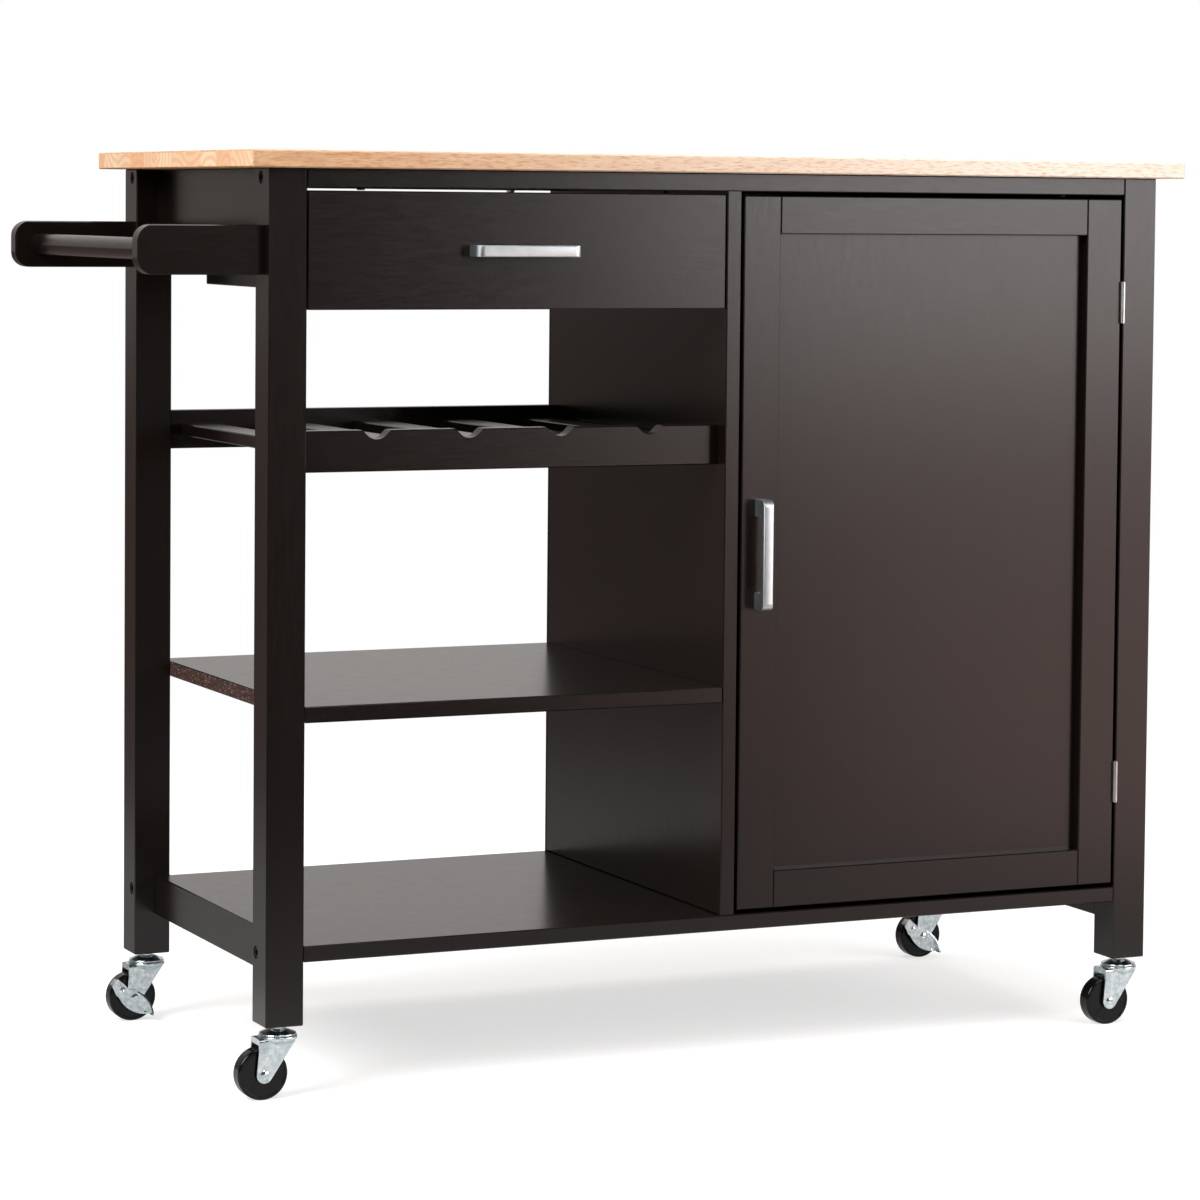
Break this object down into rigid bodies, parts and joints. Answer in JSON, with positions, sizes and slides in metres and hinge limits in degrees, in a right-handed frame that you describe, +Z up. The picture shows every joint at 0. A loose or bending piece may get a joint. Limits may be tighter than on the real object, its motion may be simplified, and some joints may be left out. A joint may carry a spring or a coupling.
{
  "type": "kitchen island cart",
  "caption": "Kitchen island cart on swivel casters with a wooden worktop, a drawer, a bottle rack, open shelves, a door cabinet and a towel handle.",
  "frame": {"origin": "on the floor under the middle of the whole cart's box", "axes": "+X along the cart from the towel handle to the cabinet end, -Y is the front with drawer and door, +Z up"},
  "size_m": [1.076, 0.458, 0.864],
  "materials": {
    "espresso_paint": "satin dark espresso paint on wood and board",
    "oiled_rubberwood": "oiled butcher block",
    "brown_hardboard": "smooth hardboard",
    "satin_nickel": "satin nickel plate",
    "plain_steel": "zinc-plated steel",
    "black_oxide_steel": "black oxide steel bolts",
    "bright_zinc": "bright zinc-plated pressed steel",
    "white_plastic": "moulded white plastic",
    "black_plastic": "glossy moulded black plastic"
  },
  "bodies": {
    "carcass": {"tabletop": "oiled_rubberwood", "leg_front_left": "espresso_paint", "leg_back_left": "espresso_paint", "leg_front_right": "espresso_paint", "leg_back_right": "espresso_paint", "top_rail_front": "espresso_paint", "top_rail_back": "espresso_paint", "apron_left": "espresso_paint", "side_rail_left": "espresso_paint", "side_panel_right": "espresso_paint", "divider_panel": "espresso_paint", "bottom_shelf": "espresso_paint", "middle_shelf": "espresso_paint", "cabinet_shelf": "espresso_paint", "cabinet_back": "espresso_paint", "shelf_pins": "plain_steel", "rack_rail_front": "espresso_paint", "rack_rail_back": "espresso_paint", "rack_slats": "espresso_paint", "towel_arm_front": "espresso_paint", "towel_arm_back": "espresso_paint", "towel_bar": "espresso_paint", "frame_bolts": "black_oxide_steel", "barrel_nuts": "plain_steel", "top_screws": "plain_steel", "door_catch": "white_plastic", "hinge_frame_leaves": "plain_steel", "runner_channels": "bright_zinc", "caster_stems": "bright_zinc"},
    "drawer": {"drawer_front": "espresso_paint", "drawer_sides": "espresso_paint", "drawer_back": "espresso_paint", "drawer_bottom": "brown_hardboard", "drawer_pull": "satin_nickel", "drawer_pull_screws": "plain_steel", "runner_slides": "bright_zinc"},
    "runner_cages": {"runner_cages": "plain_steel"},
    "door": {"door_stile_left": "espresso_paint", "door_stile_right": "espresso_paint", "door_rail_top": "espresso_paint", "door_rail_bottom": "espresso_paint", "door_panel": "espresso_paint", "door_pull": "satin_nickel", "door_pull_screws": "plain_steel", "hinge_door_leaves": "plain_steel", "catch_strike": "plain_steel"},
    "swivel_front_left": {"fork_front_left": "bright_zinc", "axle_front_left": "bright_zinc"},
    "wheel_front_left": {"wheel_front_left": "black_plastic"},
    "swivel_back_left": {"fork_back_left": "bright_zinc", "axle_back_left": "bright_zinc"},
    "wheel_back_left": {"wheel_back_left": "black_plastic"},
    "swivel_front_right": {"fork_front_right": "bright_zinc", "axle_front_right": "bright_zinc"},
    "wheel_front_right": {"wheel_front_right": "black_plastic"},
    "swivel_back_right": {"fork_back_right": "bright_zinc", "axle_back_right": "bright_zinc"},
    "wheel_back_right": {"wheel_back_right": "black_plastic"},
    "brake_back_left": {"brake_back_left": "bright_zinc"},
    "brake_back_right": {"brake_back_right": "bright_zinc"}
  },
  "joints": [
    {"name": "drawer_slide", "type": "slide", "parent": "carcass", "child": "drawer", "axis": [0, -1, 0], "range_m": [0, 0.22]},
    {"name": "cage_slide", "type": "slide", "parent": "carcass", "child": "runner_cages", "axis": [0, -1, 0], "range_m": [0, 0.11]},
    {"name": "door_hinge", "type": "hinge", "parent": "carcass", "child": "door", "pos_m": [0.478, -0.2108, 0.486], "axis": [0, 0, 1], "range_deg": [0, 110]},
    {"name": "swivel_front_left", "type": "hinge", "parent": "carcass", "child": "swivel_front_left", "pos_m": [-0.39975, -0.19075, 0.056], "axis": [0, 0, 1], "continuous": true},
    {"name": "roll_front_left", "type": "hinge", "parent": "swivel_front_left", "child": "wheel_front_left", "pos_m": [-0.41625, -0.19075, 0.024], "axis": [0, 1, 0], "continuous": true},
    {"name": "swivel_back_left", "type": "hinge", "parent": "carcass", "child": "swivel_back_left", "pos_m": [-0.39975, 0.19275, 0.056], "axis": [0, 0, 1], "continuous": true},
    {"name": "roll_back_left", "type": "hinge", "parent": "swivel_back_left", "child": "wheel_back_left", "pos_m": [-0.41625, 0.19275, 0.024], "axis": [0, 1, 0], "continuous": true},
    {"name": "swivel_front_right", "type": "hinge", "parent": "carcass", "child": "swivel_front_right", "pos_m": [0.49775, -0.19075, 0.056], "axis": [0, 0, 1], "continuous": true},
    {"name": "roll_front_right", "type": "hinge", "parent": "swivel_front_right", "child": "wheel_front_right", "pos_m": [0.48125, -0.19075, 0.024], "axis": [0, 1, 0], "continuous": true},
    {"name": "swivel_back_right", "type": "hinge", "parent": "carcass", "child": "swivel_back_right", "pos_m": [0.49775, 0.19275, 0.056], "axis": [0, 0, 1], "continuous": true},
    {"name": "roll_back_right", "type": "hinge", "parent": "swivel_back_right", "child": "wheel_back_right", "pos_m": [0.48125, 0.19275, 0.024], "axis": [0, 1, 0], "continuous": true},
    {"name": "brake_back_left", "type": "hinge", "parent": "swivel_back_left", "child": "brake_back_left", "pos_m": [-0.41625, 0.17975, 0.024], "axis": [0, 1, 0], "range_deg": [0, 12]},
    {"name": "brake_back_right", "type": "hinge", "parent": "swivel_back_right", "child": "brake_back_right", "pos_m": [0.48125, 0.17975, 0.024], "axis": [0, 1, 0], "range_deg": [0, 12]}
  ],
  "couplings": [
    {"joint": "cage_slide", "follows": "drawer_slide", "ratio": 0.5}
  ]
}
